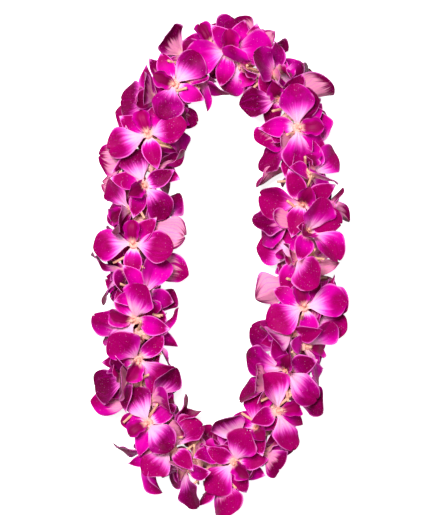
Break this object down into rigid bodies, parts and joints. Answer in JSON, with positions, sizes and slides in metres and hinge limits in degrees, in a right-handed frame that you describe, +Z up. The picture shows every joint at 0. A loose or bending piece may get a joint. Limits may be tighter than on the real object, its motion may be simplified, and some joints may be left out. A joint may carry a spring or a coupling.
{
  "type": "flower lei",
  "caption": "Closed lei of orchid blooms, threaded in back-to-back pairs on a loop of string and lying flat, to be worn round the neck or draped over something.",
  "frame": {"origin": "middle of the lei's outline, on the surface that it lies on", "axes": "+Z up from the surface; +Y along the lei's long way, to the end that lies at the top of the picture"},
  "size_m": [0.2502, 0.476, 0.0762],
  "materials": {
    "petals": "soft satin magenta petals, paler at their roots",
    "string": "matte off-white cotton"
  },
  "bodies": {
    "root": {"string": "string", "bloom_pair_01": "petals", "bloom_pair_02": "petals", "bloom_pair_03": "petals", "bloom_pair_04": "petals", "bloom_pair_05": "petals", "bloom_pair_06": "petals", "bloom_pair_07": "petals", "bloom_pair_08": "petals", "bloom_pair_09": "petals", "bloom_pair_10": "petals", "bloom_pair_11": "petals", "bloom_pair_12": "petals", "bloom_pair_13": "petals", "bloom_pair_14": "petals", "bloom_pair_15": "petals", "bloom_pair_16": "petals", "bloom_pair_17": "petals", "bloom_pair_18": "petals", "bloom_pair_19": "petals", "bloom_pair_20": "petals", "bloom_pair_21": "petals", "bloom_pair_22": "petals", "bloom_pair_23": "petals", "bloom_pair_24": "petals", "bloom_pair_25": "petals", "bloom_pair_26": "petals", "bloom_pair_27": "petals", "bloom_pair_28": "petals", "bloom_pair_29": "petals", "bloom_pair_30": "petals", "bloom_pair_31": "petals", "bloom_pair_32": "petals", "bloom_pair_33": "petals", "bloom_pair_34": "petals", "bloom_pair_35": "petals", "bloom_pair_36": "petals", "bloom_pair_37": "petals", "bloom_pair_38": "petals", "bloom_pair_39": "petals", "bloom_pair_40": "petals", "bloom_pair_41": "petals", "bloom_pair_42": "petals", "bloom_pair_43": "petals", "bloom_pair_44": "petals", "bloom_pair_45": "petals"}
  },
  "joints": []
}
